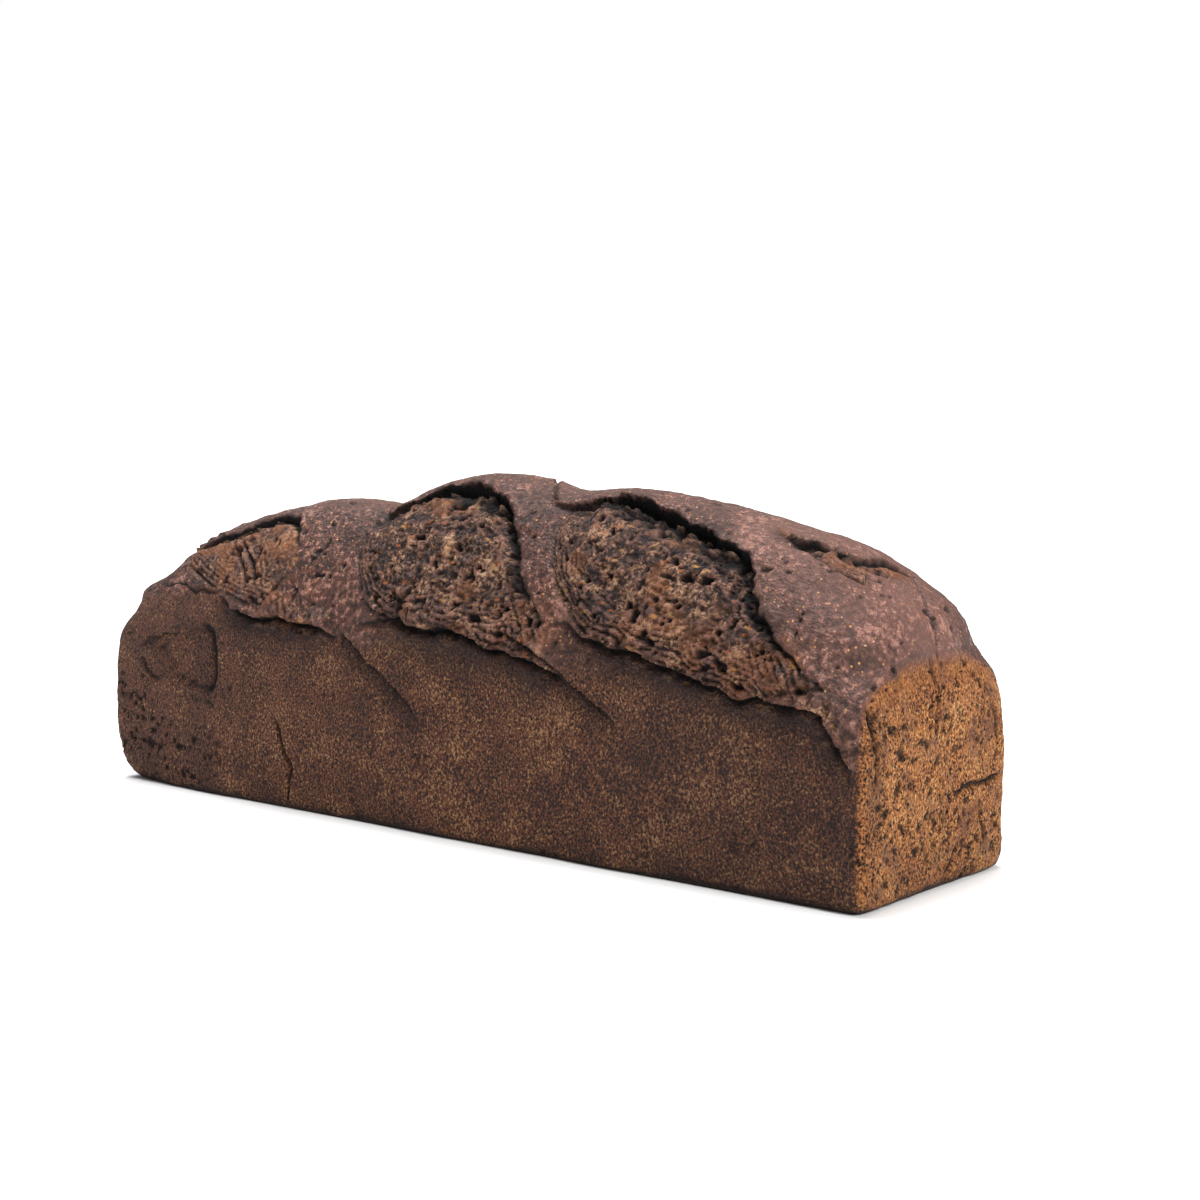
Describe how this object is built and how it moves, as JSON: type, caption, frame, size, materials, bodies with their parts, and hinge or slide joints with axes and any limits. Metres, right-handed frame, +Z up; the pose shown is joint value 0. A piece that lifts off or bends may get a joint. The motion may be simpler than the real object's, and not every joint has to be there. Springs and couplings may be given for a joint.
{
  "type": "pumpernickel loaf",
  "caption": "Long dark rye loaf baked in a narrow tin: flat walls, arched crust with diagonal cuts and a flat base to stand on.",
  "frame": {"origin": "middle of the flat base", "axes": "+X along the loaf towards the square-cornered end, +Y across the loaf, +Z up"},
  "size_m": [0.365, 0.092, 0.1276],
  "materials": {
    "crust": "baked rye crust, matt walls and a faint sheen on the top"
  },
  "bodies": {
    "root": {"loaf": "crust"}
  },
  "joints": []
}
